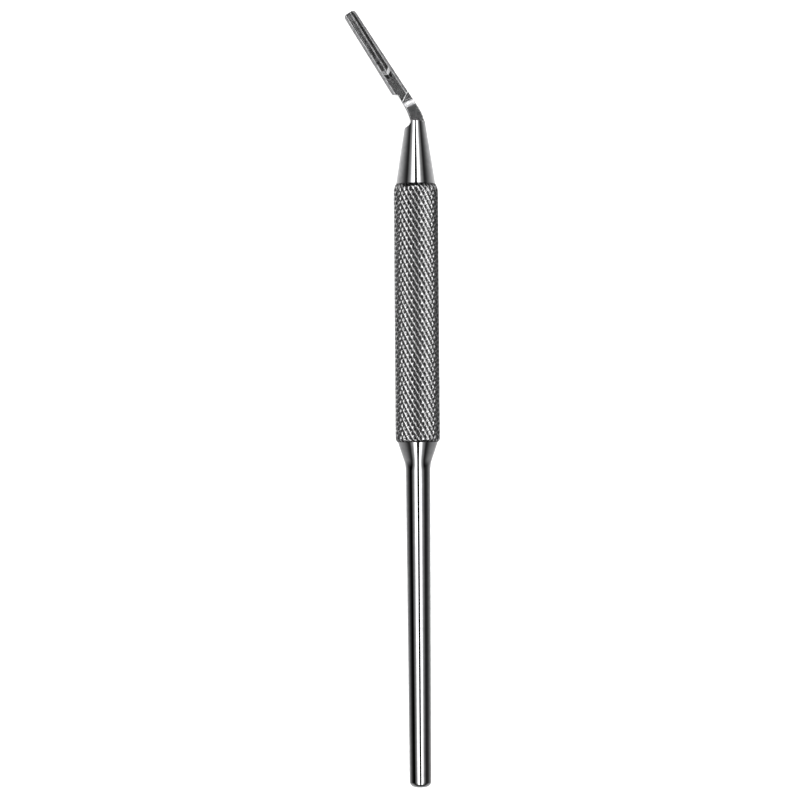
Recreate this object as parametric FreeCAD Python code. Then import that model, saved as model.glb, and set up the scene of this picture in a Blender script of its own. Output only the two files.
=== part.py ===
import FreeCAD, Part
import math
import os

# Angled scalpel handle, turned, knurled, milled and bent from one bar of stainless steel.
# Sizes are in millimetres, angles in degrees. It is drawn first in a design frame: the handle's
# axis is Y, with the rear end at Y = 0; the blade fitting bends towards -X and its boss faces +Z.
# At the end it is rolled and moved to lie as it rests, with Z = 0 on the surface beneath it.

# Rear shaft and the flare that joins it to the grip
SHAFT_LENGTH = 66.3
SHAFT_REAR_RADIUS = 2.22
SHAFT_FRONT_RADIUS = 2.52
SHAFT_END_ROUND = 1.1
FLARE_LENGTH = 4.75
FLARE_END_RADIUS = 4.14
FLARE_BLEND_RADIUS = 4.0

# Knurled grip
GRIP_LENGTH = 53.05
GRIP_RADIUS = 4.6
GRIP_REAR_DROP = 0.4
GRIP_FRONT_DROP = 0.5
GRIP_SHOULDER_DROP = 0.11
RIDGE_COUNT = 26
HELIX_ANGLE = 31.0
DEEP_GROOVE = 0.36
SHALLOW_GROOVE = 0.2

# Tapered nose ahead of the grip
NOSE_LENGTH = 13.0
NOSE_BASE_RADIUS = 4.06
NOSE_TIP_RADIUS = 2.02

# Neck that leaves the nose and makes the bend
BEND_ANGLE = 32.1
NECK_ROOT_LEFT = 0.93
NECK_ROOT_RIGHT = 1.8
NECK_ROOT_LEFT_LEAN = 20.0
NECK_ROOT_RIGHT_LEAN = 11.3
NECK_LEFT_LEAN = 28.5
NECK_INNER_RADIUS = 9.0
NECK_OUTER_RADIUS = 8.0
NECK_TOP = 1.1
NECK_EDGE_ROUND = 0.2
BACK_DEPTH = 0.95
LEDGE_ROUND = 0.35
CUTTER_RADIUS = 1.45
ROLL_OFF_RADIUS = 8.0
ROLL_OFF_LEAN = 24.0
ROLL_OFF_SETBACK = 4.85
ROLL_OFF_TURN = 30.0

# Tongue of the blade fitting; its heel is the corner where the neck steps in on the left
HEEL_AHEAD = 6.24
HEEL_OFFSET = 3.375
TONGUE_LENGTH = 19.05
TONGUE_HEEL_WIDTH = 3.03
TONGUE_TIP_WIDTH = 2.58
TIP_CORNER_RADIUS = 0.7
HEEL_CORNER_RADIUS = 0.25
HEEL_STEP = 1.13
HEEL_INNER_RADIUS = 0.5
SEAT_HEIGHT = 0.35
SEAT_HEEL_WIDTH = 2.05
SEAT_TIP_WIDTH = 1.6
SEAT_BEVEL_ANGLE = 20.0
SHOULDER_SETBACK = 2.55
SHOULDER_ANGLE = 31.0
SHOULDER_ROUND = 0.8

# Boss that holds the blade, with a groove under the head on each side for the blade's slot
BOSS_REAR = 3.04
BOSS_FRONT_GAP = 0.1
BOSS_REAR_WIDTH = 1.75
BOSS_TIP_WIDTH = 1.3
BOSS_REAR_OFFSET = -0.05
BOSS_TIP_OFFSET = 0.19
BOSS_REAR_CORNER = 0.35
BOSS_FRONT_CORNER = 0.6
BOSS_GROOVE_HEIGHT = 0.42
BOSS_GROOVE_DEPTH = 0.2
BOSS_EDGE_HEIGHT = 0.7
BOSS_RIDGE_HEIGHT = 0.73
BOSS_BEVEL_SETBACK = 1.0
BOSS_BEVEL_ANGLE = 32.0
BOSS_BEVEL_SKEW = 38.0

# Stations along the axis
GRIP_START = SHAFT_LENGTH + FLARE_LENGTH
GRIP_END = GRIP_START + GRIP_LENGTH
NOSE_END = GRIP_END + NOSE_LENGTH

# How far one solid reaches into the next before they are fused, and past a face before a cut
OVERLAP = 0.4
CLEAR = 3.0

# How close two points count as one, when an outline is closed and when the knurl's net is sewn
SAME_PLACE = 1e-6
SEWING_TOLERANCE = 0.001

UP = FreeCAD.Vector(0, 0, 1)
ALONG = FreeCAD.Vector(0, 1, 0)


def point(x, y, z=0.0):
    """A point of the design frame."""
    return FreeCAD.Vector(x, y, z)


def leaning(angle):
    """The direction that leans from +Y towards -X by an angle in degrees."""
    lean = math.radians(angle)
    return FreeCAD.Vector(-math.sin(lean), math.cos(lean), 0)


def tongue_point(u, v, z=0.0):
    """A point given along the tongue from its heel (u), across it to the right (v) and upwards."""
    forward = leaning(BEND_ANGLE)
    right = leaning(BEND_ANGLE - 90)
    return point(-HEEL_OFFSET, NOSE_END + HEEL_AHEAD) + forward * u + right * v + UP * z


def meet(start, start_lean, end, end_lean):
    """Where a line from one point crosses a line through another, each with its own lean."""
    a = leaning(start_lean)
    b = leaning(end_lean)
    gap = end - start
    reach = (gap.x * b.y - gap.y * b.x) / (a.x * b.y - a.y * b.x)
    return start + a * reach


def rounded_face(corners):
    """A face whose outline runs through the corners, each given as (point, radius of its round)."""
    edges = []
    ends = []
    for index, (corner, radius) in enumerate(corners):
        before = corners[index - 1][0] - corner
        after = corners[(index + 1) % len(corners)][0] - corner
        if radius == 0:
            ends.append((corner, corner))
            continue
        before.normalize()
        after.normalize()
        half_angle = before.getAngle(after) / 2
        run = radius / math.tan(half_angle)
        inward = (before + after).normalize()
        middle = corner + inward * (radius / math.sin(half_angle) - radius)
        start = corner + before * run
        end = corner + after * run
        edges.append(Part.Arc(start, middle, end).toShape())
        ends.append((start, end))
    for index, (start, end) in enumerate(ends):
        left = ends[index - 1][1]
        if left.distanceToPoint(start) > SAME_PLACE:
            edges.append(Part.LineSegment(left, start).toShape())
    wire = Part.Wire(Part.__sortEdges__(edges))
    return Part.Face(wire)


def turned(corners):
    """A solid turned about the handle's axis from corners given as (radius, station, round)."""
    face = rounded_face([(point(radius, station), fillet) for radius, station, fillet in corners])
    return face.revolve(point(0, 0), ALONG, 360)


def shaft():
    """The slim rear shaft, slightly tapered, with its rounded end and the flare up to the grip."""
    return turned([
        (0, 0, 0),
        (SHAFT_REAR_RADIUS, 0, SHAFT_END_ROUND),
        (SHAFT_FRONT_RADIUS, SHAFT_LENGTH, FLARE_BLEND_RADIUS),
        (FLARE_END_RADIUS, GRIP_START, 0),
        (0, GRIP_START, 0),
    ])


def grip():
    """The knurled sleeve of the grip.

    Ridges of two opposite helices cross in diamonds. Rings half a diamond apart carry the
    diamonds' peaks and, between them, the crossings of the grooves. The steep ridges run on from
    peak to peak with only a shallow notch, halfway, where the other family's groove crosses. The
    sleeve is chamfered at both ends.
    """
    axial_pitch = 2 * math.pi * GRIP_RADIUS / RIDGE_COUNT / math.tan(math.radians(HELIX_ANGLE))
    ring_count = round(2 * GRIP_LENGTH / axial_pitch)
    ring_gap = GRIP_LENGTH / ring_count
    half_step = math.pi / RIDGE_COUNT
    limits = {
        0: GRIP_RADIUS - GRIP_REAR_DROP,
        ring_count - 1: GRIP_RADIUS - GRIP_SHOULDER_DROP,
        ring_count: GRIP_RADIUS - GRIP_FRONT_DROP,
    }
    points = []
    facets = []

    def add_point(radius, turn, station):
        angle = turn * half_step
        points.append(point(radius * math.cos(angle), station, -radius * math.sin(angle)))
        return len(points) - 1

    rings = []
    for ring in range(ring_count + 1):
        row = []
        for turn in range(2 * RIDGE_COUNT):
            is_peak = (ring + turn) % 2 == 0
            radius = GRIP_RADIUS if is_peak else GRIP_RADIUS - DEEP_GROOVE
            radius = min(radius, limits.get(ring, GRIP_RADIUS))
            row.append(add_point(radius, turn, GRIP_START + ring * ring_gap))
        rings.append(row)

    for ring in range(ring_count):
        for turn in range(2 * RIDGE_COUNT):
            after = (turn + 1) % (2 * RIDGE_COUNT)
            low_left, low_right = rings[ring][turn], rings[ring][after]
            high_left, high_right = rings[ring + 1][turn], rings[ring + 1][after]
            if (ring + turn) % 2 == 0:
                facets.append((low_left, high_left, low_right))
                facets.append((low_right, high_left, high_right))
            else:
                notch = add_point(GRIP_RADIUS - SHALLOW_GROOVE, turn + 0.5,
                                  GRIP_START + (ring + 0.5) * ring_gap)
                facets.append((low_left, notch, low_right))
                facets.append((low_left, high_left, notch))
                facets.append((high_left, high_right, notch))
                facets.append((low_right, notch, high_right))

    side = Part.Shape()
    side.makeShapeFromMesh((points, facets), SEWING_TOLERANCE)
    caps = []
    for row in (rings[0], rings[-1]):
        outline = [points[index] for index in row]
        caps.append(Part.Face(Part.makePolygon(outline + outline[:1])))
    shell = Part.makeShell(side.Faces + caps)
    shell.sewShape()
    return Part.makeSolid(shell.Shells[0] if shell.Shells else shell)


def nose():
    """The tapered nose, with the run-out that the side cutter left on its left flank."""
    taper = turned([
        (0, GRIP_END, 0),
        (NOSE_BASE_RADIUS, GRIP_END, 0),
        (NOSE_TIP_RADIUS, NOSE_END, 0),
        (0, NOSE_END, 0),
    ])
    axis_foot = point(-NECK_ROOT_LEFT - CUTTER_RADIUS, NOSE_END, -GRIP_RADIUS)
    cutter = Part.makeCylinder(CUTTER_RADIUS, 2 * GRIP_RADIUS, axis_foot, UP)
    return taper.cut(cutter)


def slab(face, bottom, top):
    """A plan outline carried straight up from one height to another."""
    lifted = face.translated(UP * bottom)
    return lifted.extrude(UP * (top - bottom))


def head_outline():
    """The plan of the bent neck and the tongue, from inside the nose to the tip."""
    right_tip = tongue_point(TONGUE_LENGTH, TONGUE_TIP_WIDTH / 2)
    left_tip = tongue_point(TONGUE_LENGTH, -TONGUE_TIP_WIDTH / 2)
    right_heel = tongue_point(0, TONGUE_HEEL_WIDTH / 2)
    left_heel = tongue_point(0, -TONGUE_HEEL_WIDTH / 2)
    side_run = right_tip - right_heel
    right_lean = math.degrees(math.atan2(-side_run.x, side_run.y))
    heel_inner = left_heel + point(HEEL_STEP, 0)
    root_right = point(NECK_ROOT_RIGHT, NOSE_END)
    root_left = point(-NECK_ROOT_LEFT, NOSE_END)
    outer_bend = meet(root_right, NECK_ROOT_RIGHT_LEAN, right_heel, right_lean)
    inner_bend = meet(root_left, NECK_ROOT_LEFT_LEAN, heel_inner, NECK_LEFT_LEAN)
    return rounded_face([
        (root_right - leaning(NECK_ROOT_RIGHT_LEAN) * OVERLAP, 0),
        (outer_bend, NECK_OUTER_RADIUS),
        (right_tip, TIP_CORNER_RADIUS),
        (left_tip, TIP_CORNER_RADIUS),
        (left_heel, HEEL_CORNER_RADIUS),
        (heel_inner, HEEL_INNER_RADIUS),
        (inner_bend, NECK_INNER_RADIUS),
        (root_left - leaning(NECK_ROOT_LEFT_LEAN) * OVERLAP, 0),
    ])


def head_blank():
    """The neck and tongue as one flat blank, with softened long edges."""
    blank = slab(head_outline(), -BACK_DEPTH, NECK_TOP)
    long_edges = [
        edge for edge in blank.Edges
        if edge.BoundBox.ZLength < SAME_PLACE and edge.BoundBox.YMax > NOSE_END
    ]
    return blank.makeFillet(NECK_EDGE_ROUND, long_edges)


def ledge_round():
    """The concave round where the neck's top face runs out against the nose's front face."""
    low = point(0, NOSE_END + LEDGE_ROUND, NECK_TOP)
    high = point(0, NOSE_END, NECK_TOP + LEDGE_ROUND)
    bow = LEDGE_ROUND * (1 - math.sqrt(0.5))
    middle = point(0, NOSE_END + bow, NECK_TOP + bow)
    inner = point(0, NOSE_END - OVERLAP, high.z)
    foot = point(0, NOSE_END - OVERLAP, NECK_TOP - OVERLAP)
    toe = point(0, low.y, foot.z)
    wire = Part.Wire([
        Part.Arc(low, middle, high).toShape(),
        Part.LineSegment(high, inner).toShape(),
        Part.LineSegment(inner, foot).toShape(),
        Part.LineSegment(foot, toe).toShape(),
        Part.LineSegment(toe, low).toShape(),
    ])
    across = NECK_ROOT_LEFT + NECK_ROOT_RIGHT - 2 * NECK_EDGE_ROUND
    fill = Part.Face(wire).translated(point(NECK_EDGE_ROUND - NECK_ROOT_LEFT, 0)).extrude(point(across, 0))
    bar = Part.makeCylinder(NOSE_TIP_RADIUS, NOSE_LENGTH, point(0, GRIP_END), ALONG)
    return fill.common(bar)


def roll_off():
    """What is milled away so that the neck's top rolls down towards the seat's shoulder.

    The roll turns further than it needs to, so the cut is kept above the seat.
    """
    forward = leaning(ROLL_OFF_LEAN)
    right = leaning(ROLL_OFF_LEAN - 90)
    start = tongue_point(-ROLL_OFF_SETBACK, 0, NECK_TOP) - right * CLEAR
    end_angle = math.radians(ROLL_OFF_TURN)
    centre = start - UP * ROLL_OFF_RADIUS
    middle = centre + (forward * math.sin(end_angle / 2) + UP * math.cos(end_angle / 2)) * ROLL_OFF_RADIUS
    end = centre + (forward * math.sin(end_angle) + UP * math.cos(end_angle)) * ROLL_OFF_RADIUS
    high = point(end.x, end.y, NECK_TOP + CLEAR)
    above = start + UP * CLEAR
    wire = Part.Wire([
        Part.Arc(start, middle, end).toShape(),
        Part.LineSegment(end, high).toShape(),
        Part.LineSegment(high, above).toShape(),
        Part.LineSegment(above, start).toShape(),
    ])
    cut = Part.Face(wire).extrude(right * 2 * CLEAR)
    above_seat = Part.makeBox(4 * CLEAR, 4 * CLEAR, 4 * CLEAR, start - point(2 * CLEAR, 2 * CLEAR))
    above_seat.translate(UP * (SEAT_HEIGHT - start.z))
    return cut.common(above_seat)


def ahead_of_shoulder():
    """The room ahead of the seat's shoulder, which rises from the seat in a concave round."""
    forward = leaning(BEND_ANGLE + SHOULDER_ANGLE)
    right = leaning(BEND_ANGLE + SHOULDER_ANGLE - 90)
    reach = TONGUE_LENGTH + 2 * CLEAR
    wall = tongue_point(-SHOULDER_SETBACK, 0) - right * reach
    foot = wall + forward * SHOULDER_ROUND
    bow = SHOULDER_ROUND * (1 - math.sqrt(0.5))
    top = UP * GRIP_RADIUS
    seat = UP * SEAT_HEIGHT
    round_start = wall + seat + UP * SHOULDER_ROUND
    round_middle = wall + seat + (forward + UP) * bow
    section = Part.Wire([
        Part.LineSegment(wall + top, round_start).toShape(),
        Part.Arc(round_start, round_middle, foot + seat).toShape(),
        Part.LineSegment(foot + seat, foot - top).toShape(),
        Part.LineSegment(foot - top, wall - top + forward * 2 * reach).toShape(),
        Part.LineSegment(wall - top + forward * 2 * reach, wall + top + forward * 2 * reach).toShape(),
        Part.LineSegment(wall + top + forward * 2 * reach, wall + top).toShape(),
    ])
    return Part.Face(section).extrude(right * 2 * reach)


def seat_cut():
    """What is milled away above the blade's seat: a flat strip with a falling bevel on each side."""
    fall = math.tan(math.radians(SEAT_BEVEL_ANGLE))
    sections = []
    for u, half in ((-2 * CLEAR, SEAT_HEEL_WIDTH / 2), (TONGUE_LENGTH + CLEAR, SEAT_TIP_WIDTH / 2)):
        side = half + CLEAR
        low = SEAT_HEIGHT - CLEAR * fall
        corners = [
            tongue_point(u, -side, NECK_TOP + CLEAR),
            tongue_point(u, -side, low),
            tongue_point(u, -half, SEAT_HEIGHT),
            tongue_point(u, half, SEAT_HEIGHT),
            tongue_point(u, side, low),
            tongue_point(u, side, NECK_TOP + CLEAR),
        ]
        sections.append(Part.makePolygon(corners + corners[:1]))
    above_seat = Part.makeLoft(sections, True, True)
    return above_seat.common(ahead_of_shoulder())


def boss_section(u, width, offset):
    """One cross-section of the boss: a grooved foot under a head with a slight ridge."""
    foot = width / 2 - BOSS_GROOVE_DEPTH
    head = width / 2
    profile = [
        (-foot, -OVERLAP),
        (-foot, BOSS_GROOVE_HEIGHT),
        (-head, BOSS_GROOVE_HEIGHT),
        (-head, BOSS_EDGE_HEIGHT),
        (0, BOSS_RIDGE_HEIGHT),
        (head, BOSS_EDGE_HEIGHT),
        (head, BOSS_GROOVE_HEIGHT),
        (foot, BOSS_GROOVE_HEIGHT),
        (foot, -OVERLAP),
    ]
    corners = [tongue_point(u, offset + v, SEAT_HEIGHT + rise) for v, rise in profile]
    return Part.makePolygon(corners + corners[:1])


def boss():
    """The boss on the seat that the blade's slot slides over, with a bevelled, pointed rear end."""
    rear = boss_section(BOSS_REAR, BOSS_REAR_WIDTH, BOSS_REAR_OFFSET)
    front = boss_section(TONGUE_LENGTH, BOSS_TIP_WIDTH, BOSS_TIP_OFFSET)
    body = Part.makeLoft([rear, front], True, True)
    half_rear = BOSS_REAR_WIDTH / 2
    half_tip = BOSS_TIP_WIDTH / 2
    corners = [
        (tongue_point(BOSS_REAR, BOSS_REAR_OFFSET - half_rear), BOSS_REAR_CORNER),
        (tongue_point(BOSS_REAR, BOSS_REAR_OFFSET + half_rear), BOSS_REAR_CORNER),
        (tongue_point(TONGUE_LENGTH - BOSS_FRONT_GAP, BOSS_TIP_OFFSET + half_tip), BOSS_FRONT_CORNER),
        (tongue_point(TONGUE_LENGTH - BOSS_FRONT_GAP, BOSS_TIP_OFFSET - half_tip), BOSS_FRONT_CORNER),
    ]
    body = body.common(slab(rounded_face(corners), 0, GRIP_RADIUS))
    top = SEAT_HEIGHT + BOSS_RIDGE_HEIGHT
    for skew in (-BOSS_BEVEL_SKEW, BOSS_BEVEL_SKEW):
        apex = tongue_point(BOSS_REAR + BOSS_BEVEL_SETBACK, 0, top)
        block = Part.makeBox(2 * CLEAR, CLEAR, CLEAR, point(-CLEAR, -CLEAR, 0))
        block.rotate(point(0, 0), point(1, 0, 0), BOSS_BEVEL_ANGLE)
        block.rotate(point(0, 0), UP, BEND_ANGLE + skew)
        block.translate(apex)
        body = body.cut(block)
    return body


def rest_roll():
    """The roll, in degrees, at which the grip and the tongue's lowest corner touch one plane.

    That corner is round in plan and along its lower edge, so it is followed as a round edge that
    lies its own radius inside the outline and above the back.
    """
    reach = -head_outline().optimalBoundingBox().XMin - NECK_EDGE_ROUND
    depth = BACK_DEPTH - NECK_EDGE_ROUND
    steepest = math.asin((GRIP_RADIUS - NECK_EDGE_ROUND) / math.hypot(reach, depth))
    return math.degrees(steepest - math.atan(depth / reach))


def handle():
    """The whole handle as one solid, lying as it rests, centred over its own middle."""
    fitting = head_blank().cut(roll_off()).cut(seat_cut()).fuse([boss(), ledge_round()])
    solid = shaft().fuse([nose(), fitting]).removeSplitter()
    solid = solid.fuse(grip())
    solid.rotate(point(0, 0), ALONG, -rest_roll())
    box = solid.optimalBoundingBox()
    solid.translate(point(-box.Center.x, -box.Center.y, -box.ZMin))
    return solid


os.makedirs("parts", exist_ok=True)
part = handle()
part.exportStep("parts/handle.step")
print("handle: valid", part.isValid(), "solids", len(part.Solids), "faces", len(part.Faces),
      "volume", round(part.Volume, 1), "box", part.optimalBoundingBox())
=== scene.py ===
"""An angled round scalpel handle of polished stainless steel, dressed for a studio picture.

Every size in the dataclasses is in millimetres or degrees, in the handle's drawing frame: its axis
is Y with the rear end at 0, the blade fitting bends towards -X and its boss faces +Z. The class
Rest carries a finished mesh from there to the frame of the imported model, in metres.
"""

import logging
import math
from dataclasses import dataclass, field
from enum import Enum
from functools import partial, reduce

import bmesh
import bpy
from mathutils import Matrix, Vector, noise
from mathutils.bvhtree import BVHTree


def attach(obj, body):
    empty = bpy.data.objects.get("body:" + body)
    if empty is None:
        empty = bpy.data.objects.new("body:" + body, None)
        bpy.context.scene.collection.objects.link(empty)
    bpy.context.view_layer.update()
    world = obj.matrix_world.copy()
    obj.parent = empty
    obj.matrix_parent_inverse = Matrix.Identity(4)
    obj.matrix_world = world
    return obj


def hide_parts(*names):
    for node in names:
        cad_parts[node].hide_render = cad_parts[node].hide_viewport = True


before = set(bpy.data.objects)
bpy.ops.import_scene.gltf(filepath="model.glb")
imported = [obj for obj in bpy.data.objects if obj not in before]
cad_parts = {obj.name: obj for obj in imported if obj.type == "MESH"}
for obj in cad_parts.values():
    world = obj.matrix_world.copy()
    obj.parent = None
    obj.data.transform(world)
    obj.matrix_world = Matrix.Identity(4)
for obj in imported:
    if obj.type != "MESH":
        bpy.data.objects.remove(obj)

LOG = logging.getLogger("scalpel_handle")
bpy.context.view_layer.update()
MM = 0.001
UP = Vector((0.0, 0.0, 1.0))
ALONG = Vector((0.0, 1.0, 0.0))
CLEAR = 3.0  # how far a tool reaches past what it works on
TOUCHING = 1e-6  # closer points count as one where a plane cuts
FULL_WEIGHT = 100  # lets the large faces alone set the shading
QUARTER_TURN = 90
FULL_TURN = 360

Colour = tuple[float, float, float, float]
Factors = tuple[float, float, float]
Socket = bpy.types.NodeSocket
Finish = bpy.types.Material
Piece = bpy.types.Object
Solid = bmesh.types.BMesh


class Joining(Enum):
    """How one solid mesh is worked into another."""

    CUT = "DIFFERENCE"
    ADD = "UNION"
    KEEP_COMMON = "INTERSECT"


class Surface(Enum):
    """The finishes that the handle's faces have."""

    TURNED = "turned_steel"
    KNURLED = "knurled_steel"
    MILLED = "milled_steel"
    # The boss's steel: lower roughness from rubbing, and streaks darkened as painted shade.
    RUBBED_SHADED = "rubbed_steel"


@dataclass(frozen=True)
class Corner:
    """One corner of a plan outline, with the radius of its round."""

    place: Vector
    radius: float = 0.0


@dataclass(frozen=True)
class Ramp:
    """A change from one value to another while a number crosses a span, held at both ends."""

    start: float
    end: float
    low: float
    high: float
    smooth: bool = False


@dataclass(frozen=True)
class Rest:
    """How the handle lies: rolled about its axis until grip and tongue touch one plane."""

    roll: float = 15.0753
    axis_x: float = 4.6491
    rear_y: float = -79.9513
    axis_z: float = 4.6

    def matrix(self) -> Matrix:
        """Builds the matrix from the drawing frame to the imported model's frame.

        Returns:
            The roll, the move and the change from millimetres to metres, in one matrix.
        """
        roll = Matrix.Rotation(-math.radians(self.roll), 4, "Y")
        move = Matrix.Translation(Vector((self.axis_x, self.rear_y, self.axis_z)))
        return Matrix.Scale(MM, 4) @ move @ roll

    def facing(self) -> Vector:
        """Gives the direction that the boss faces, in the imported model's frame."""
        return (Matrix.Rotation(-math.radians(self.roll), 3, "Y") @ UP).normalized()

    def rightward(self) -> Vector:
        """Gives the direction away from the bend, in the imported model's frame."""
        return ALONG.cross(self.facing()).normalized()


REST = Rest()


def flat(x: float, y: float, z: float = 0.0) -> Vector:
    """Gives a point of the drawing frame."""
    return Vector((x, y, z))


def leaning(angle: float) -> Vector:
    """Gives the direction that leans from +Y towards -X by an angle in degrees."""
    lean = math.radians(angle)
    return Vector((-math.sin(lean), math.cos(lean), 0.0))


def meeting(start: Vector, start_lean: float, end: Vector, end_lean: float) -> Vector:
    """Finds where two lines of the plan cross.

    Args:
        start: a point of the first line.
        start_lean: the first line's lean, in degrees.
        end: a point of the second line.
        end_lean: the second line's lean, in degrees.

    Returns:
        The crossing point.
    """
    a = leaning(start_lean)
    b = leaning(end_lean)
    gap = end - start
    return start + a * ((gap.x * b.y - gap.y * b.x) / (a.x * b.y - a.y * b.x))


def rounded(corners: list[Corner], arc_step: float = 6.0) -> list[Vector]:
    """Runs an outline through rounded corners.

    Args:
        corners: the corners in order, each with its radius.
        arc_step: the most that the outline turns between two points of a round, in degrees.

    Returns:
        The outline's points, each round divided into short steps.
    """
    points: list[Vector] = []
    for index, corner in enumerate(corners):
        if corner.radius == 0:
            points.append(corner.place)
            continue
        before = (corners[index - 1].place - corner.place).normalized()
        after = (corners[(index + 1) % len(corners)].place - corner.place).normalized()
        half = before.angle(after) / 2
        centre = corner.place + (before + after).normalized() * (corner.radius / math.sin(half))
        start = corner.place + before * (corner.radius / math.tan(half)) - centre
        turn = math.pi - 2 * half
        if before.cross(after).z > 0:
            turn = -turn
        steps = max(2, math.ceil(abs(math.degrees(turn)) / arc_step))
        for step in range(steps + 1):
            points.append(centre + Matrix.Rotation(turn * step / steps, 3, "Z") @ start)
    return points


def arc(centre: Vector, start: Vector, end: Vector, radius: float, turn: float,
        steps: int) -> list[Vector]:
    """Draws an arc.

    Args:
        centre: the arc's centre.
        start: the direction from the centre in which it starts.
        end: the direction that it turns towards, square to the first.
        radius: the arc's radius.
        turn: how far it turns, in degrees.
        steps: how many steps divide it.

    Returns:
        The arc's points.
    """
    angles = [math.radians(turn * step / steps) for step in range(steps + 1)]
    return [centre + (start * math.cos(angle) + end * math.sin(angle)) * radius for angle in angles]


def inset(outline: list[Vector], depth: float, least_mitre: float = 0.3) -> list[Vector]:
    """Moves a closed outline, drawn against the clock, inwards.

    Args:
        outline: the outline's points.
        depth: how far its lines move.
        least_mitre: keeps a sharp corner from running away.

    Returns:
        The moved points.
    """
    moved = []
    for index, place in enumerate(outline):
        arriving = (place - outline[index - 1]).normalized()
        leaving = (outline[(index + 1) % len(outline)] - place).normalized()
        inward = UP.cross(arriving + leaving).normalized()
        mitre = max(least_mitre, inward.dot(UP.cross(arriving)))
        moved.append(place + inward * (depth / mitre))
    return moved


def against_clock(outline: list[Vector]) -> list[Vector]:
    """Gives the outline's points in the order that runs against the clock, seen from above."""
    area = sum(a.cross(b).z for a, b in zip(outline, outline[1:] + outline[:1]))
    return outline if area > 0 else outline[::-1]


def skinned(rings: list[list[Vector]]) -> Solid:
    """Makes a closed mesh through rings of points, with a flat face at each end.

    Args:
        rings: at least two rings with equally many points, each against the clock as seen
            from the last ring's side.

    Returns:
        The closed mesh.
    """
    mesh = bmesh.new()
    rows = [[mesh.verts.new(place) for place in ring] for ring in rings]
    count = len(rows[0])
    for low, high in zip(rows, rows[1:]):
        for index in range(count):
            after = (index + 1) % count
            mesh.faces.new((low[index], low[after], high[after], high[index]))
    mesh.faces.new(rows[0][::-1])
    mesh.faces.new(rows[-1])
    return mesh


def prism(outline: list[Vector], bottom: float, top: float, edge_round: float = 0.0,
          quarter_steps: int = 10) -> Solid:
    """Carries a plan outline straight up.

    Args:
        outline: the plan's points.
        bottom: the height of the lower face.
        top: the height of the upper face.
        edge_round: the radius of the round along both long edges.
        quarter_steps: how many steps divide that round.

    Returns:
        The closed mesh.
    """
    outline = against_clock(outline)
    if edge_round == 0:
        return skinned([[place + UP * height for place in outline] for height in (bottom, top)])
    rings = []
    for low in (True, False):
        for step in range(quarter_steps + 1):
            angle = math.pi / 2 * (step if low else quarter_steps - step) / quarter_steps
            depth = edge_round * (1 - math.sin(angle))
            rise = edge_round * (1 - math.cos(angle))
            height = bottom + rise if low else top - rise
            rings.append([place + UP * height for place in inset(outline, depth)])
    return skinned(rings)


def turned(profile: list[tuple[float, float]], columns: int) -> Solid:
    """Turns a profile about the handle's axis.

    Args:
        profile: (radius, station) pairs from the rear to the front, all radii above zero.
        columns: how many faces go round.

    Returns:
        The closed mesh, with a flat face at each end.
    """
    rings = []
    for radius, station in profile:
        turns = [2 * math.pi * column / columns for column in range(columns)]
        rings.append([flat(radius * math.sin(t), station, radius * math.cos(t)) for t in turns])
    return skinned(rings)


def sliced(mesh: Solid, place: Vector, outward: Vector) -> Solid:
    """Cuts away what lies beyond a plane and closes the cut.

    Args:
        mesh: the closed mesh to cut.
        place: a point of the plane.
        outward: the plane's direction, towards what goes.

    Returns:
        The same mesh, closed again.
    """
    everything = list(mesh.verts) + list(mesh.edges) + list(mesh.faces)
    cut = bmesh.ops.bisect_plane(
        mesh, geom=everything, dist=TOUCHING, plane_co=place, plane_no=outward, clear_outer=True
    )
    rim = [item for item in cut["geom_cut"] if isinstance(item, bmesh.types.BMEdge)]
    bmesh.ops.contextual_create(mesh, geom=rim)
    return mesh


def as_object(name: str, mesh: Solid, finish: Finish) -> Piece:
    """Puts a mesh into the scene.

    Args:
        name: the object's name.
        mesh: the mesh, which is used up.
        finish: the material of all its faces.

    Returns:
        The new object, still in the drawing frame.
    """
    bmesh.ops.recalc_face_normals(mesh, faces=mesh.faces)
    data = bpy.data.meshes.new(name)
    mesh.to_mesh(data)
    mesh.free()
    data.materials.append(finish)
    made = bpy.data.objects.new(name, data)
    bpy.context.scene.collection.objects.link(made)
    return made


def settled(made: Piece) -> Piece:
    """Turns an object's modifiers into its own mesh."""
    before = made.data
    graph = bpy.context.evaluated_depsgraph_get()
    made.data = bpy.data.meshes.new_from_object(made.evaluated_get(graph))
    made.data.name = made.name
    made.modifiers.clear()
    bpy.data.meshes.remove(before)
    return made


def worked(body: Piece, tool: Piece, how: Joining) -> Piece:
    """Works one solid into another.

    Args:
        body: the object that is kept.
        tool: the object that is used up.
        how: whether the tool is cut away, added or only the common part kept.

    Returns:
        The body with its new mesh.
    """
    step = body.modifiers.new(how.name, "BOOLEAN")
    step.operation = how.value
    step.solver = "EXACT"
    step.material_mode = "TRANSFER"
    step.object = tool
    settled(body)
    bpy.data.objects.remove(tool)
    return body


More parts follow.
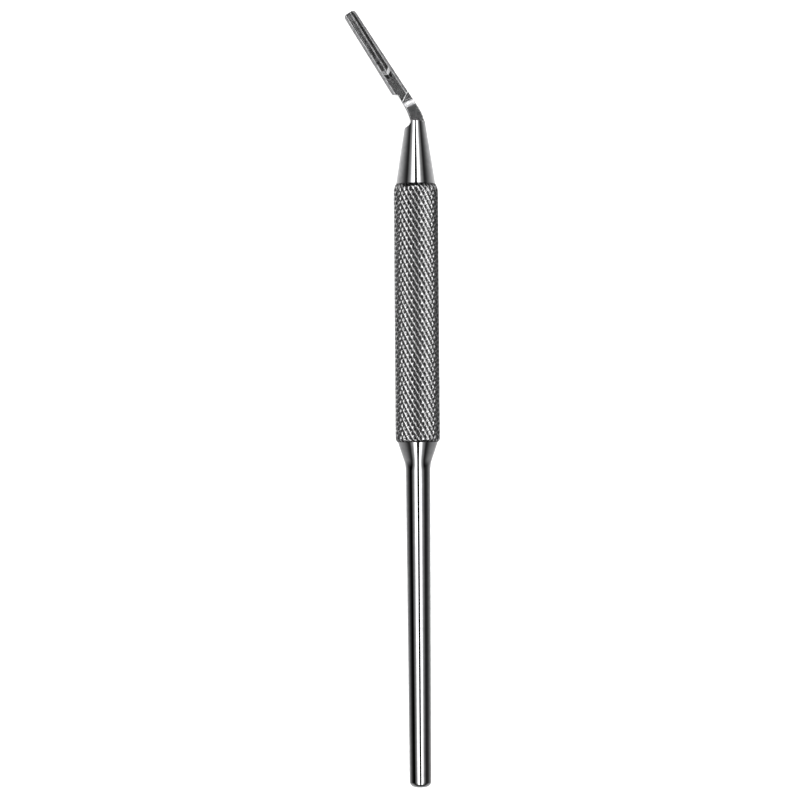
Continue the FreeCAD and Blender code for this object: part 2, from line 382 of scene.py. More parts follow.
def softened(made: Piece, width: float, least_angle: float = 10.5,
             weld_share: float = 0.2, segments: int = 2) -> Piece:
    """Breaks an object's sharp edges with a small round.

    Args:
        made: the object, in millimetres.
        width: the width of the round.
        least_angle: the angle from which an edge counts as sharp, in degrees.
        weld_share: the share of the width within which points become one.
        segments: how many steps divide the round.

    Returns:
        The object, smooth, with every point on or near the form that it had before.
    """
    weld = width * weld_share
    mesh = bmesh.new()
    mesh.from_mesh(made.data)
    bmesh.ops.remove_doubles(mesh, verts=mesh.verts, dist=weld)
    bmesh.ops.dissolve_degenerate(mesh, edges=mesh.edges, dist=weld)
    form = BVHTree.FromBMesh(mesh)
    mesh.to_mesh(made.data)
    mesh.free()
    for face in made.data.polygons:
        face.use_smooth = True
    step = made.modifiers.new("edge_round", "BEVEL")
    step.width = width
    step.segments = segments
    step.limit_method = "ANGLE"
    step.angle_limit = math.radians(least_angle)
    step.use_clamp_overlap = False
    step.loop_slide = False
    settled(made)
    for vertex in made.data.vertices:
        nearest, _, _, distance = form.find_nearest(vertex.co)
        if distance > width:
            vertex.co = nearest
    weigh = made.modifiers.new("large_faces_rule", "WEIGHTED_NORMAL")
    weigh.mode = "FACE_AREA"
    weigh.weight = FULL_WEIGHT
    return settled(made)


def seated(made: Piece) -> Piece:
    """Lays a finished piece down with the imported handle, which it stands for."""
    made.data.transform(REST.matrix())
    made.data.update()
    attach(made, "root")
    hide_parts("handle")
    triangles = sum(len(face.vertices) - 2 for face in made.data.polygons)
    LOG.info("%s: %d triangles", made.name, triangles)
    return made


class ShaderDraft:
    """A node tree being drawn, with short ways to add a node and to join two."""

    def __init__(self, owner: Finish | bpy.types.World) -> None:
        """Starts from an empty tree in a material or a world."""
        owner.use_nodes = True
        self.tree = owner.node_tree
        self.tree.nodes.clear()

    def node(self, kind: str, values: dict | None = None, **settings) -> bpy.types.Node:
        """Adds a node.

        Args:
            kind: the node's Blender type.
            values: for each input, its number, its vector, or the output that feeds it.
            **settings: the node's own settings.

        Returns:
            The new node.
        """
        made = self.tree.nodes.new(kind)
        for name, setting in settings.items():
            setattr(made, name, setting)
        for name, value in (values or {}).items():
            if isinstance(value, Socket):
                self.tree.links.new(value, made.inputs[name])
            else:
                made.inputs[name].default_value = value
        return made

    def maths(self, operation: str, *values) -> Socket:
        """Adds a Math node on one, two or three numbers and gives its result."""
        return self.node("ShaderNodeMath", dict(enumerate(values)), operation=operation).outputs[0]

    def product(self, *values) -> Socket:
        """Multiplies numbers."""
        return reduce(partial(self.maths, "MULTIPLY"), values)

    def total(self, *values) -> Socket:
        """Adds numbers."""
        return reduce(partial(self.maths, "ADD"), values)

    def ramp(self, value: Socket, ramp: Ramp) -> Socket:
        """Carries a number through a ramp."""
        kind = "SMOOTHSTEP" if ramp.smooth else "LINEAR"
        values = {"Value": value, "From Min": ramp.start, "From Max": ramp.end,
                  "To Min": ramp.low, "To Max": ramp.high}
        return self.node("ShaderNodeMapRange", values, interpolation_type=kind).outputs["Result"]

    def along(self, value: Socket, direction: Vector) -> Socket:
        """Measures a vector along a direction."""
        values = {0: value, 1: tuple(direction)}
        return self.node("ShaderNodeVectorMath", values, operation="DOT_PRODUCT").outputs["Value"]

    def place(self) -> Socket:
        """Gives the place on the surface, in metres."""
        return self.node("ShaderNodeTexCoord").outputs["Object"]

    def grain(self, place: Socket, scale: float, detail: float) -> Socket:
        """Adds a noise texture and gives its strength from 0 to 1."""
        values = {"Vector": place, "Scale": scale, "Detail": detail}
        return self.node("ShaderNodeTexNoise", values).outputs[0]

    def stretched(self, place: Socket, factors: Factors, turn: float = 0.0) -> Socket:
        """Stretches a place along its axes.

        Args:
            place: the place on the surface.
            factors: the factor along each axis.
            turn: a turn about Z before that, in degrees.

        Returns:
            The stretched place.
        """
        if turn:
            spin = {"Vector": place, "Axis": (0.0, 0.0, 1.0), "Angle": math.radians(turn)}
            place = self.node("ShaderNodeVectorRotate", spin).outputs[0]
        values = {0: place, 1: factors}
        return self.node("ShaderNodeVectorMath", values, operation="MULTIPLY").outputs[0]

    def bump(self, height: Socket, depth: float, strength: float,
             below: Socket | None = None) -> Socket:
        """Turns a height into a bent normal.

        Args:
            height: the height, from 0 to 1.
            depth: how deep a height of 1 is, in metres.
            strength: how much of it shows.
            below: the normal that it bends further.

        Returns:
            The bent normal.
        """
        values = {"Height": height, "Distance": depth, "Strength": strength}
        if below is not None:
            values["Normal"] = below
        return self.node("ShaderNodeBump", values).outputs[0]

    def mixed(self, share: Socket, first: Colour, second: Colour) -> Socket:
        """Mixes two colours by the share of the second."""
        values = {"Factor": share, "A": first, "B": second}
        return self.node("ShaderNodeMix", values, data_type="RGBA").outputs["Result"]

    def metal(self, colour: Socket, roughness: Socket, normal: Socket) -> None:
        """Ends a material's tree with bare metal."""
        shader = self.node("ShaderNodeBsdfPrincipled", {
            "Base Color": colour, "Metallic": 1.0, "Roughness": roughness, "Normal": normal})
        self.node("ShaderNodeOutputMaterial", {"Surface": shader.outputs[0]})


@dataclass(frozen=True)
class TurnedSteel:
    """Steel as it leaves the lathe and the polishing belt: bright, with faint lines round it."""

    clean: Colour = (0.80, 0.80, 0.81, 1.0)
    worn: Colour = (0.70, 0.70, 0.715, 1.0)
    line_grain: Factors = (300.0, 9000.0, 300.0)
    line_depth: float = 2.0e-7
    line_strength: float = 0.5
    wave_grain: Factors = (260.0, 55.0, 260.0)
    wave_depth: float = 5.0e-6
    wave_strength: float = 0.4
    lathe_detail: float = 2.0
    wear_grain: float = 900.0
    wear_detail: float = 6.0
    wear_colour: Ramp = Ramp(0.35, 0.7, 0.0, 1.0)
    wear_roughness: Ramp = Ramp(0.3, 0.75, 0.035, 0.085)

    def material(self) -> Finish:
        """Draws the finish and gives the material."""
        made = bpy.data.materials.new(Surface.TURNED.value)
        draft = ShaderDraft(made)
        place = draft.place()
        lines = draft.grain(draft.stretched(place, self.line_grain), 1.0, self.lathe_detail)
        waves = draft.grain(draft.stretched(place, self.wave_grain), 1.0, self.lathe_detail)
        wear = draft.grain(place, self.wear_grain, self.wear_detail)
        colour = draft.mixed(draft.ramp(wear, self.wear_colour), self.clean, self.worn)
        waved = draft.bump(waves, self.wave_depth, self.wave_strength)
        normal = draft.bump(lines, self.line_depth, self.line_strength, waved)
        draft.metal(colour, draft.ramp(wear, self.wear_roughness), normal)
        return made


@dataclass(frozen=True)
class KnurledSteel:
    """Pressed knurl: crests burnished by the hand, grooves duller; the colour darkens into the
    grooves as painted shade.
    """

    crest: Colour = (0.9, 0.9, 0.91, 1.0)
    # groove is painted shade: the near black colour that the knurl falls to at the groove bottoms.
    groove: Colour = (0.035, 0.035, 0.037, 1.0)
    height: Ramp = Ramp(4.28 * MM, 4.56 * MM, 0.0, 1.0)
    roughness: Ramp = Ramp(0.0, 1.0, 0.2, 0.1)
    grit_grain: float = 5200.0
    grit_detail: float = 4.0
    grit_mottling: Ramp = Ramp(0.3, 0.7, -0.38, 0.38)
    grit_depth: float = 8.0e-6
    grit_strength: float = 0.25

    def material(self) -> Finish:
        """Draws the finish and gives the material."""
        made = bpy.data.materials.new(Surface.KNURLED.value)
        draft = ShaderDraft(made)
        place = draft.place()
        from_axis = draft.node("ShaderNodeVectorMath", {
            0: place, 1: (REST.axis_x * MM, 0.0, REST.axis_z * MM)}, operation="SUBTRACT")
        spoke = draft.stretched(from_axis.outputs[0], (1.0, 0.0, 1.0))
        reach = draft.node("ShaderNodeVectorMath", {0: spoke}, operation="LENGTH").outputs["Value"]
        grit = draft.grain(place, self.grit_grain, self.grit_detail)
        # Colour runs from near black at the groove bottoms to bright steel on the crests by depth:
        # painted shade, with random grit tone on top.
        groove_shade_and_grit = draft.total(draft.ramp(reach, self.height), draft.ramp(grit, self.grit_mottling))
        draft.metal(draft.mixed(groove_shade_and_grit, self.groove, self.crest),
                    draft.ramp(groove_shade_and_grit, self.roughness),
                    draft.bump(grit, self.grit_depth, self.grit_strength))
        return made


@dataclass(frozen=True)
class MilledSteel:
    """Steel as the cutter left it: satin, with fine strokes along the tongue."""

    surface: Surface = Surface.MILLED
    clean: Colour = (0.76, 0.76, 0.77, 1.0)
    dull: Colour = (0.3, 0.3, 0.31, 1.0)
    roughness: Ramp = Ramp(0.3, 0.7, 0.15, 0.22)
    stroke_lean: float = 32.1
    stroke_grain: Factors = (6000.0, 260.0, 6000.0)
    stroke_detail: float = 3.0
    stroke_colour: Ramp = Ramp(0.35, 0.65, 0.0, 0.6)
    stroke_depth: float = 8.0e-7
    stroke_strength: float = 0.5
    grit_grain: float = 1500.0
    grit_detail: float = 5.0
    grit_colour: Ramp = Ramp(0.35, 0.68, 0.0, 0.4)
    grit_depth: float = 2.0e-6
    grit_strength: float = 0.25

    def material(self) -> Finish:
        """Draws the finish and gives the material."""
        made = bpy.data.materials.new(self.surface.value)
        draft = ShaderDraft(made)
        place = draft.place()
        drawn_out = draft.stretched(place, self.stroke_grain, -self.stroke_lean)
        strokes = draft.grain(drawn_out, 1.0, self.stroke_detail)
        grit = draft.grain(place, self.grit_grain, self.grit_detail)
        streaked = draft.total(
            draft.ramp(grit, self.grit_colour), draft.ramp(strokes, self.stroke_colour))
        gritty = draft.bump(grit, self.grit_depth, self.grit_strength)
        draft.metal(draft.mixed(streaked, self.clean, self.dull),
                    draft.ramp(strokes, self.roughness),
                    draft.bump(strokes, self.stroke_depth, self.stroke_strength, gritty))
        return made


@dataclass
class RearShaft:
    """The slim rear shaft with its rounded end, and the flare that carries it into the grip."""

    length: float = 66.3
    rear_radius: float = 2.22
    front_radius: float = 2.52
    end_round: float = 1.1
    flare_length: float = 4.75
    flare_radius: float = 4.14
    blend_radius: float = 7.0
    last_ring: float = 0.05
    columns: int = 144
    ring_spacing: float = 3.0

    def profile(self) -> list[tuple[float, float]]:
        """Draws half the shaft's lengthwise section.

        Returns:
            (radius, station) pairs from the rear end to the grip, with two close together at the
            grip, so that the flat end face doesn't bend the shading of the flare.
        """
        end = self.length + self.flare_length
        line = rounded([
            Corner(flat(0.0, 0.0)),
            Corner(flat(self.rear_radius, 0.0), self.end_round),
            Corner(flat(self.front_radius, self.length), self.blend_radius),
            Corner(flat(self.flare_radius, end)),
        ], arc_step=2.0)[1:]
        pairs: list[tuple[float, float]] = []
        for start, finish in zip(line, line[1:]):
            parts = max(1, round((finish - start).length / self.ring_spacing))
            for part in range(parts):
                place = start.lerp(finish, part / parts)
                pairs.append((place.x, place.y))
        close_by = line[-1] + (line[-2] - line[-1]).normalized() * self.last_ring
        return pairs + [(close_by.x, close_by.y), (self.flare_radius, end)]

    def build(self, finish: Finish) -> Piece:
        """Builds the shaft.

        Args:
            finish: the turned steel.

        Returns:
            The piece, seated.
        """
        made = as_object("rear_shaft", turned(self.profile(), self.columns), finish)
        return self.dress(made)

    def dress(self, made: Piece) -> Piece:
        """Smooths the turned faces, keeps the hidden end face flat, and seats the piece."""
        for face in made.data.polygons:
            face.use_smooth = len(face.vertices) == 4
        return seated(made)


@dataclass
class KnurledGrip:
    """The grip, with deep grooves one way round and shallow notches the other way."""

    start: float = 71.05
    length: float = 53.05
    radius: float = 4.6
    ridges: int = 26
    helix: float = 31.0
    deep: float = 0.2
    shallow: float = 0.26
    crest_round: float = 0.1
    crest_share: float = 0.03
    front_drop: float = 0.5
    front_run: float = 1.5
    rear_drop: float = 0.4
    rear_run: float = 0.7
    cuts: tuple[float, ...] = (0.0, 0.04, 0.08, 0.14, 0.26, 0.5, 0.74, 0.86, 0.92, 0.96)
    groove_middle: float = 0.5
    rows_to_pitch: int = 12
    drop_power: float = 1.6
    unevenness: float = 0.012
    patches_round: float = 3.0
    patches_along: float = 0.6
    patch_scale: float = 1.7

    @property
    def pitch(self) -> float:
        """Gives how far along the grip one ridge takes the next one's place."""
        return 2 * math.pi * self.radius / self.ridges / math.tan(math.radians(self.helix))

    def sunk(self, across: float, along: float) -> float:
        """Works out how deep the surface lies below the crests.

        Args:
            across: the place round the grip, in ridges.
            along: the place along the grip, in pitches.

        Returns:
            The depth, in millimetres.
        """
        full = math.hypot(1, self.crest_round) - self.crest_round

        def fold(value: float) -> float:
            """Gives 0 on a crest and 1 in the middle of a groove, with a rounded crest."""
            sharp = 2 * abs(value - round(value))
            return (math.hypot(sharp, self.crest_round) - self.crest_round) / full

        flank = fold(across + along)
        notch = self.crest_share + (1 - self.crest_share) * flank
        return self.deep * flank + self.shallow * notch * fold(across - along)

    def limit(self, station: float) -> float:
        """Works out how far the turned ends let the knurl stand out.

        Args:
            station: the place along the axis.

        Returns:
            The greatest radius there.
        """
        behind = max(0.0, 1 - (station - self.start) / self.rear_run)
        ahead = max(0.0, 1 - (self.start + self.length - station) / self.front_run)
        rear_loss = self.rear_drop * behind ** self.drop_power
        front_loss = self.front_drop * ahead ** self.drop_power
        return self.radius - rear_loss - front_loss

    def worn_by(self, turn: float, station: float) -> float:
        """Works out how far wear has lowered a spot, in soft patches.

        Args:
            turn: the place round the grip, in radians.
            station: the place along the axis.

        Returns:
            The depth, in millimetres.
        """
        spot = Vector((math.cos(turn) * self.patches_round, math.sin(turn) * self.patches_round,
                       station * self.patches_along))
        return self.unevenness * (1 + noise.noise(spot * self.patch_scale))

    def surface(self) -> Solid:
        """Lays the knurl out as a fine net whose lines run along the ridges.

        Returns:
            The closed mesh, with an edge left sharp down the middle of each groove.
        """
        rows = round(self.length / self.pitch * self.rows_to_pitch)
        places = [ridge + cut for ridge in range(self.ridges) for cut in self.cuts]
        columns = len(places)
        mesh = bmesh.new()
        net = []
        for row in range(rows + 1):
            station = self.start + self.length * row / rows
            along = row / self.rows_to_pitch
            ring = []
            for place in places:
                across = place - along
                turn = 2 * math.pi * across / self.ridges
                reach = self.limit(station)
                if row not in (0, rows):
                    lost = self.sunk(across, along) + self.worn_by(turn, station)
                    reach = min(reach, self.radius - lost)
                spot = flat(reach * math.cos(turn), station, -reach * math.sin(turn))
                ring.append(mesh.verts.new(spot))
            net.append(ring)
        bottom = self.cuts.index(self.groove_middle)
        for row in range(rows):
            for column in range(columns):
                after = (column + 1) % columns
                low_left, low_right = net[row][column], net[row][after]
                high_left, high_right = net[row + 1][column], net[row + 1][after]
                mesh.faces.new((low_left, low_right, high_right))
                mesh.faces.new((low_left, high_right, high_left))
                if column % len(self.cuts) == bottom:
                    mesh.edges.get((low_left, high_left)).smooth = False
        mesh.faces.new(net[0][::-1])
        mesh.faces.new(net[-1])
        return mesh

    def build(self, finish: Finish) -> Piece:
        """Builds the grip.

        Args:
            finish: the knurled steel.

        Returns:
            The piece, seated.
        """
        return self.dress(as_object("knurled_grip", self.surface(), finish))

    def dress(self, made: Piece) -> Piece:
        """Smooths the small facets of the ridges and seats the piece."""
        for face in made.data.polygons:
            face.use_smooth = len(face.vertices) == 3
        return seated(made)


@dataclass
class Nose:
    """The tapered nose, with the run-out that the side cutter left on its flank."""

    start: float = 124.1
    length: float = 13.0
    base_radius: float = 4.06
    tip_radius: float = 2.02
    cutter_radius: float = 1.45
    cutter_reach: float = 0.93
    cutter_step: int = 4
    columns: int = 144
    ring_spacing: float = 1.0

    @property
    def end(self) -> float:
        """Gives the station of the front face."""
        return self.start + self.length

    def build(self, finish: Finish) -> Piece:
        """Builds the nose.

        Args:
            finish: the turned steel.

        Returns:
            The nose, still in the drawing frame.
        """
        parts = round(self.length / self.ring_spacing)
        slope = (self.tip_radius - self.base_radius) / parts
        profile = [(self.base_radius + slope * part, self.start + self.length * part / parts)
                   for part in range(parts + 1)]
        made = as_object("nose_and_fitting", turned(profile, self.columns), finish)
        centre = flat(-self.cutter_reach - self.cutter_radius, self.end)
        spoke = flat(self.cutter_radius, 0.0)
        circle = [centre + Matrix.Rotation(math.radians(angle), 3, "Z") @ spoke
                  for angle in range(0, FULL_TURN, self.cutter_step)]
        cutter = as_object("cutter", prism(circle, -2 * CLEAR, 2 * CLEAR), finish)
        return worked(made, cutter, Joining.CUT)


@dataclass
class Boss:
    """The undercut boss on the seat that the blade's slot slides over."""

    rear: float = 3.04
    front_gap: float = 0.1
    rear_width: float = 1.75
    tip_width: float = 1.3
    rear_offset: float = -0.05
    tip_offset: float = 0.19
    groove_height: float = 0.42
    groove_depth: float = 0.2
    edge_height: float = 0.7
    ridge_height: float = 0.73
    crease_width: float = 0.16
    crease_depth: float = 0.09
    bevel_setback: float = 1.0
    bevel_angle: float = 32.0
    bevel_skew: float = 38.0
    upper_setback: float = 1.35
    upper_angle: float = 16.0
    upper_skew: float = 50.0
    rear_round: float = 0.35
    front_round: float = 0.6


@dataclass
class BladeFitting:
    """The bent neck and the tongue that carries the blade."""

    bend: float = 32.1
    root_left: float = 0.93
    root_right: float = 1.8
    root_left_lean: float = 20.0
    root_right_lean: float = 11.3
    neck_left_lean: float = 28.5
    inner_radius: float = 9.0
    outer_radius: float = 8.0
    neck_top: float = 1.1
    edge_round: float = 0.2
    back_depth: float = 0.95
    ledge_round: float = 0.35
    roll_radius: float = 4.2
    roll_lean: float = 24.0
    roll_setback: float = 4.35
    roll_turn: float = 27.0
    heel_ahead: float = 6.24
    heel_offset: float = 3.375
    tongue_length: float = 19.05
    heel_width: float = 3.03
    tip_width: float = 2.58
    tip_corner: float = 0.7
    heel_corner: float = 0.25
    heel_step: float = 1.13
    heel_inner: float = 0.5
    seat_height: float = 0.35
    seat_heel_width: float = 2.05
    seat_tip_width: float = 1.6
    seat_bevel: float = 20.0
    shoulder_setback: float = 2.55
    shoulder_angle: float = 31.0
    shoulder_round: float = 0.55
    root_overlap: float = 0.4
    edge_break: float = 0.05
    arc_steps: int = 20
    ledge_steps: int = 6
    nose: Nose = field(default_factory=Nose)
    boss: Boss = field(default_factory=Boss)

    def on_tongue(self, u: float, v: float, z: float = 0.0) -> Vector:
        """Gives a point along the tongue from its heel (u), across it (v) and above its middle."""
        heel = flat(-self.heel_offset, self.nose.end + self.heel_ahead)
        sideways = leaning(self.bend - QUARTER_TURN)
        return heel + leaning(self.bend) * u + sideways * v + UP * z

    def outline(self) -> list[Vector]:
        """Draws the plan of neck and tongue.

        Returns:
            The outline's points, from inside the nose round the tip and back.
        """
        right_tip = self.on_tongue(self.tongue_length, self.tip_width / 2)
        left_tip = self.on_tongue(self.tongue_length, -self.tip_width / 2)
        right_heel = self.on_tongue(0, self.heel_width / 2)
        left_heel = self.on_tongue(0, -self.heel_width / 2)
        run = right_tip - right_heel
        side_lean = math.degrees(math.atan2(-run.x, run.y))
        heel_inside = left_heel + flat(self.heel_step, 0)
        root_right = flat(self.root_right, self.nose.end)
        root_left = flat(-self.root_left, self.nose.end)
        outer_bend = meeting(root_right, self.root_right_lean, right_heel, side_lean)
        inner_bend = meeting(root_left, self.root_left_lean, heel_inside, self.neck_left_lean)
        return rounded([
            Corner(root_right - leaning(self.root_right_lean) * self.root_overlap),
            Corner(outer_bend, self.outer_radius),
            Corner(right_tip, self.tip_corner),
            Corner(left_tip, self.tip_corner),
            Corner(left_heel, self.heel_corner),
            Corner(heel_inside, self.heel_inner),
            Corner(inner_bend, self.inner_radius),
            Corner(root_left - leaning(self.root_left_lean) * self.root_overlap),
        ], arc_step=3.0)

    def roll_off(self) -> Solid:
        """Shapes what is milled away where the neck's top rolls down to a step at the shoulder.

        Returns:
            The closed mesh of what goes.
        """
        forward = leaning(self.roll_lean)
        right = leaning(self.roll_lean - QUARTER_TURN)
        start = self.on_tongue(-self.roll_setback, 0, self.neck_top)
        centre = start - UP * self.roll_radius
        section = arc(centre, UP, forward, self.roll_radius, self.roll_turn, self.arc_steps)
        section.append(section[-1] + forward * 2 * CLEAR)
        section.append(section[-1] + UP * 2 * CLEAR)
        section.append(start + UP * CLEAR)
        return skinned([[place + right * side for place in section] for side in (CLEAR, -CLEAR)])

    def seat_cut(self) -> Solid:
        """Shapes what is milled away above the seat: a flat strip, falling away on each side.

        Returns:
            The closed mesh of what goes.
        """
        fall = math.tan(math.radians(self.seat_bevel))
        rings = []
        for u, half in ((-2 * CLEAR, self.seat_heel_width / 2),
                        (self.tongue_length + CLEAR, self.seat_tip_width / 2)):
            side = half + CLEAR
            low = self.seat_height - CLEAR * fall
            high = self.neck_top + CLEAR
            heights = [(-side, high), (-side, low), (-half, self.seat_height),
                       (half, self.seat_height), (side, low), (side, high)]
            rings.append([self.on_tongue(u, v, z) for v, z in heights])
        return skinned(rings)

    def ahead_of_shoulder(self) -> Solid:
        """Shapes the room ahead of the seat's shoulder, which rises in a concave round.

        Returns:
            The closed mesh.
        """
        forward = leaning(self.bend + self.shoulder_angle)
        right = leaning(self.bend + self.shoulder_angle - QUARTER_TURN)
        reach = self.tongue_length + 2 * CLEAR
        wall = self.on_tongue(-self.shoulder_setback, 0, self.seat_height)
        centre = wall + (forward + UP) * self.shoulder_round
        section = [wall + UP * 2 * CLEAR]
        section += arc(centre, -forward, -UP, self.shoulder_round, QUARTER_TURN, self.arc_steps)
        section.append(section[-1] - UP * 2 * CLEAR)
        section.append(wall + forward * 2 * reach - UP * 2 * CLEAR)
        section.append(wall + forward * 2 * reach + UP * 2 * CLEAR)
        return skinned([[place + right * side for place in section] for side in (-reach, reach)])

    def boss_body(self) -> Solid:
        """Lofts the boss before its ends are shaped.

        Returns:
            The closed mesh, grooved under its head along both sides.
        """
        boss = self.boss
        rings = []
        for u, width, offset in ((boss.rear, boss.rear_width, boss.rear_offset),
                                 (self.tongue_length, boss.tip_width, boss.tip_offset)):
            head = width / 2
            foot = head - boss.groove_depth
            crease = boss.crease_width / 2
            section = [
                (-foot, -self.root_overlap), (-foot, boss.groove_height),
                (-head, boss.groove_height), (-head, boss.edge_height),
                (-crease, boss.ridge_height), (0.0, boss.ridge_height - boss.crease_depth),
                (crease, boss.ridge_height), (head, boss.edge_height),
                (head, boss.groove_height), (foot, boss.groove_height), (foot, -self.root_overlap),
            ]
            rings.append([self.on_tongue(u, offset + v, self.seat_height + rise)
                          for v, rise in section])
        return skinned(rings)

    def boss_piece(self, finish: Finish) -> Piece:
        """Builds the boss with its rounded front and its pointed, bevelled rear end.

        Args:
            finish: the boss's steel, smoothed by rubbing, with darker streaks painted as shade.

        Returns:
            The boss, in the drawing frame.
        """
        boss = self.boss
        front = self.tongue_length - boss.front_gap
        rear_half, tip_half = boss.rear_width / 2, boss.tip_width / 2
        plan = rounded([
            Corner(self.on_tongue(boss.rear, boss.rear_offset - rear_half), boss.rear_round),
            Corner(self.on_tongue(boss.rear, boss.rear_offset + rear_half), boss.rear_round),
            Corner(self.on_tongue(front, boss.tip_offset + tip_half), boss.front_round),
            Corner(self.on_tongue(front, boss.tip_offset - tip_half), boss.front_round),
        ])
        made = as_object("boss", self.boss_body(), finish)
        stock = as_object("boss_plan", prism(plan, -self.root_overlap / 2, 2 * CLEAR), finish)
        worked(made, stock, Joining.KEEP_COMMON)
        shaped = bmesh.new()
        shaped.from_mesh(made.data)
        for setback, angle, skew in ((boss.bevel_setback, boss.bevel_angle, boss.bevel_skew),
                                     (boss.upper_setback, boss.upper_angle, boss.upper_skew)):
            apex = self.on_tongue(boss.rear + setback, 0, self.seat_height + boss.ridge_height)
            lean = math.radians(angle)
            for turn in (-skew, skew):
                back = -leaning(self.bend + turn)
                sliced(shaped, apex, back * math.sin(lean) + UP * math.cos(lean))
        bmesh.ops.recalc_face_normals(shaped, faces=shaped.faces)
        shaped.to_mesh(made.data)
        shaped.free()
        return made

    def ledge(self) -> Solid:
        """Shapes the small concave round between the neck's top and the nose's front face.

        Returns:
            The closed mesh, reaching a little into both.
        """
        low = flat(0, self.nose.end + self.ledge_round, self.neck_top)
        centre = low + UP * self.ledge_round
        section = arc(centre, -UP, -ALONG, self.ledge_round, QUARTER_TURN, self.ledge_steps)
        inner = self.nose.end - self.root_overlap
        section.append(flat(0, inner, centre.z))
        section.append(flat(0, inner, self.neck_top - self.root_overlap))
        section.append(flat(0, low.y, self.neck_top - self.root_overlap))
        left = flat(self.edge_round - self.root_left, 0)
        right = flat(self.root_right - self.edge_round, 0)
        return skinned([[place + side for place in section] for side in (right, left)])

    def build(self, milled: Finish, rubbed_shaded: Finish,
              turned_finish: Finish) -> Piece:
        """Builds nose, neck, tongue and boss as one piece.

        Args:
            milled: the steel of neck and tongue.
            rubbed_shaded: the steel of the boss, smoothed by rubbing, with darker streaks painted
                as shade.
            turned_finish: the steel of the nose.

        Returns:
            The piece, seated.
        """
        blank = prism(self.outline(), -self.back_depth, self.neck_top, self.edge_round)
        fitting = as_object("fitting", blank, milled)
        worked(fitting, as_object("roll_off", self.roll_off(), milled), Joining.CUT)
        seat_cut = as_object("seat_cut", self.seat_cut(), milled)
        worked(seat_cut, as_object("ahead", self.ahead_of_shoulder(), milled), Joining.KEEP_COMMON)
        worked(fitting, seat_cut, Joining.CUT)
        worked(fitting, self.boss_piece(rubbed_shaded), Joining.ADD)
        worked(fitting, as_object("ledge", self.ledge(), milled), Joining.ADD)
        whole = self.nose.build(turned_finish)
        worked(whole, fitting, Joining.ADD)
        return self.dress(whole)

    def dress(self, made: Piece) -> Piece:
        """Breaks the sharp edges and seats the piece."""
        return seated(softened(made, self.edge_break))


